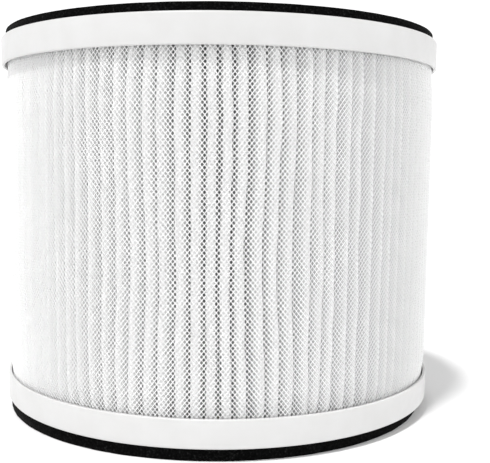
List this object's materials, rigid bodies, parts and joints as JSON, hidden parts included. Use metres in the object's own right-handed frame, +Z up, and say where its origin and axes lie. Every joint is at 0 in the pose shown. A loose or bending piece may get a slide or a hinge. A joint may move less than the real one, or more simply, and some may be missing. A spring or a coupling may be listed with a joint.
{
  "type": "air purifier filter cartridge",
  "caption": "Round replacement filter for an air purifier: pleated media in a white net sleeve round a carbon bed, with moulded end caps and foam gaskets.",
  "frame": {"origin": "centre of the lower gasket's underside, which rests on the floor or on the fan's seat", "axes": "+Z up along the cartridge's axis, through the bore; +Y points to the joint of the pleated sheet"},
  "size_m": [0.18, 0.18, 0.1528],
  "materials": {
    "cap_plastic": "satin",
    "gasket_foam": "matte",
    "tape_film": "satin",
    "adhesive": "gloss",
    "filter_paper": "matte",
    "nylon_net": "satin",
    "black_net": "matte",
    "carbon_granules": "matte",
    "cage_plastic": "satin"
  },
  "bodies": {
    "root": {"lower_gasket": "gasket_foam", "lower_gasket_tape": "tape_film", "lower_end_cap": "cap_plastic", "lower_potting": "adhesive", "inner_cage": "cage_plastic", "carbon_inner_net": "black_net", "carbon_bed": "carbon_granules", "carbon_outer_net": "black_net", "pleated_media": "filter_paper", "media_joint_strip": "adhesive", "prefilter_net": "nylon_net", "prefilter_net_seam": "nylon_net", "upper_potting": "adhesive", "upper_end_cap": "cap_plastic", "upper_gasket_tape": "tape_film", "upper_gasket": "gasket_foam"}
  },
  "joints": []
}
